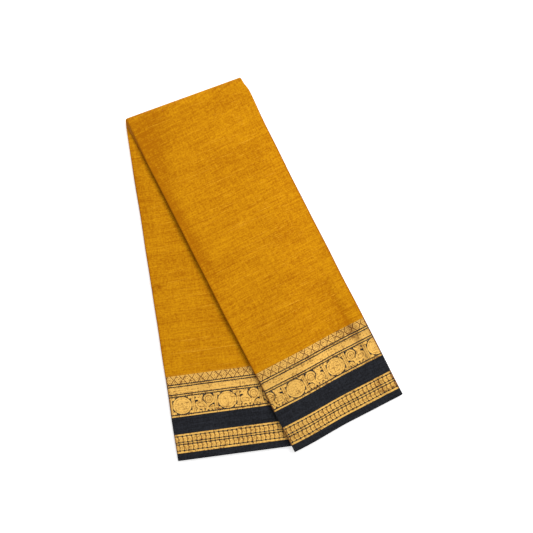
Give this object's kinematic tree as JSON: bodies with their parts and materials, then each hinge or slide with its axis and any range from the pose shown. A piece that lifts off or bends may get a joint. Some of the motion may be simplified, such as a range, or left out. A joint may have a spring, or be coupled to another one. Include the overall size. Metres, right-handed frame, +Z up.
{
  "type": "folded saree",
  "caption": "Saree folded lengthwise into a long pad and doubled over into two slanted legs, lying flat, with a woven border at both hems.",
  "frame": {"origin": "on the surface it lies on, under the middle of its box", "axes": "+Z up from the surface, +Y towards the top fold, +X to the right seen from above"},
  "size_m": [0.4456, 0.6152, 0.026],
  "materials": {
    "field_cloth": "soft melange weave in mustard, faint sheen",
    "woven_border": "black weave with brocade of metallic gold thread",
    "inner_cloth": "folded edges of the same mustard and black cloth"
  },
  "bodies": {
    "root": {"back_border": "woven_border", "back_field": "field_cloth", "top_fold": "field_cloth", "front_field": "field_cloth", "front_border": "woven_border", "inner_layers": "inner_cloth"}
  },
  "joints": []
}
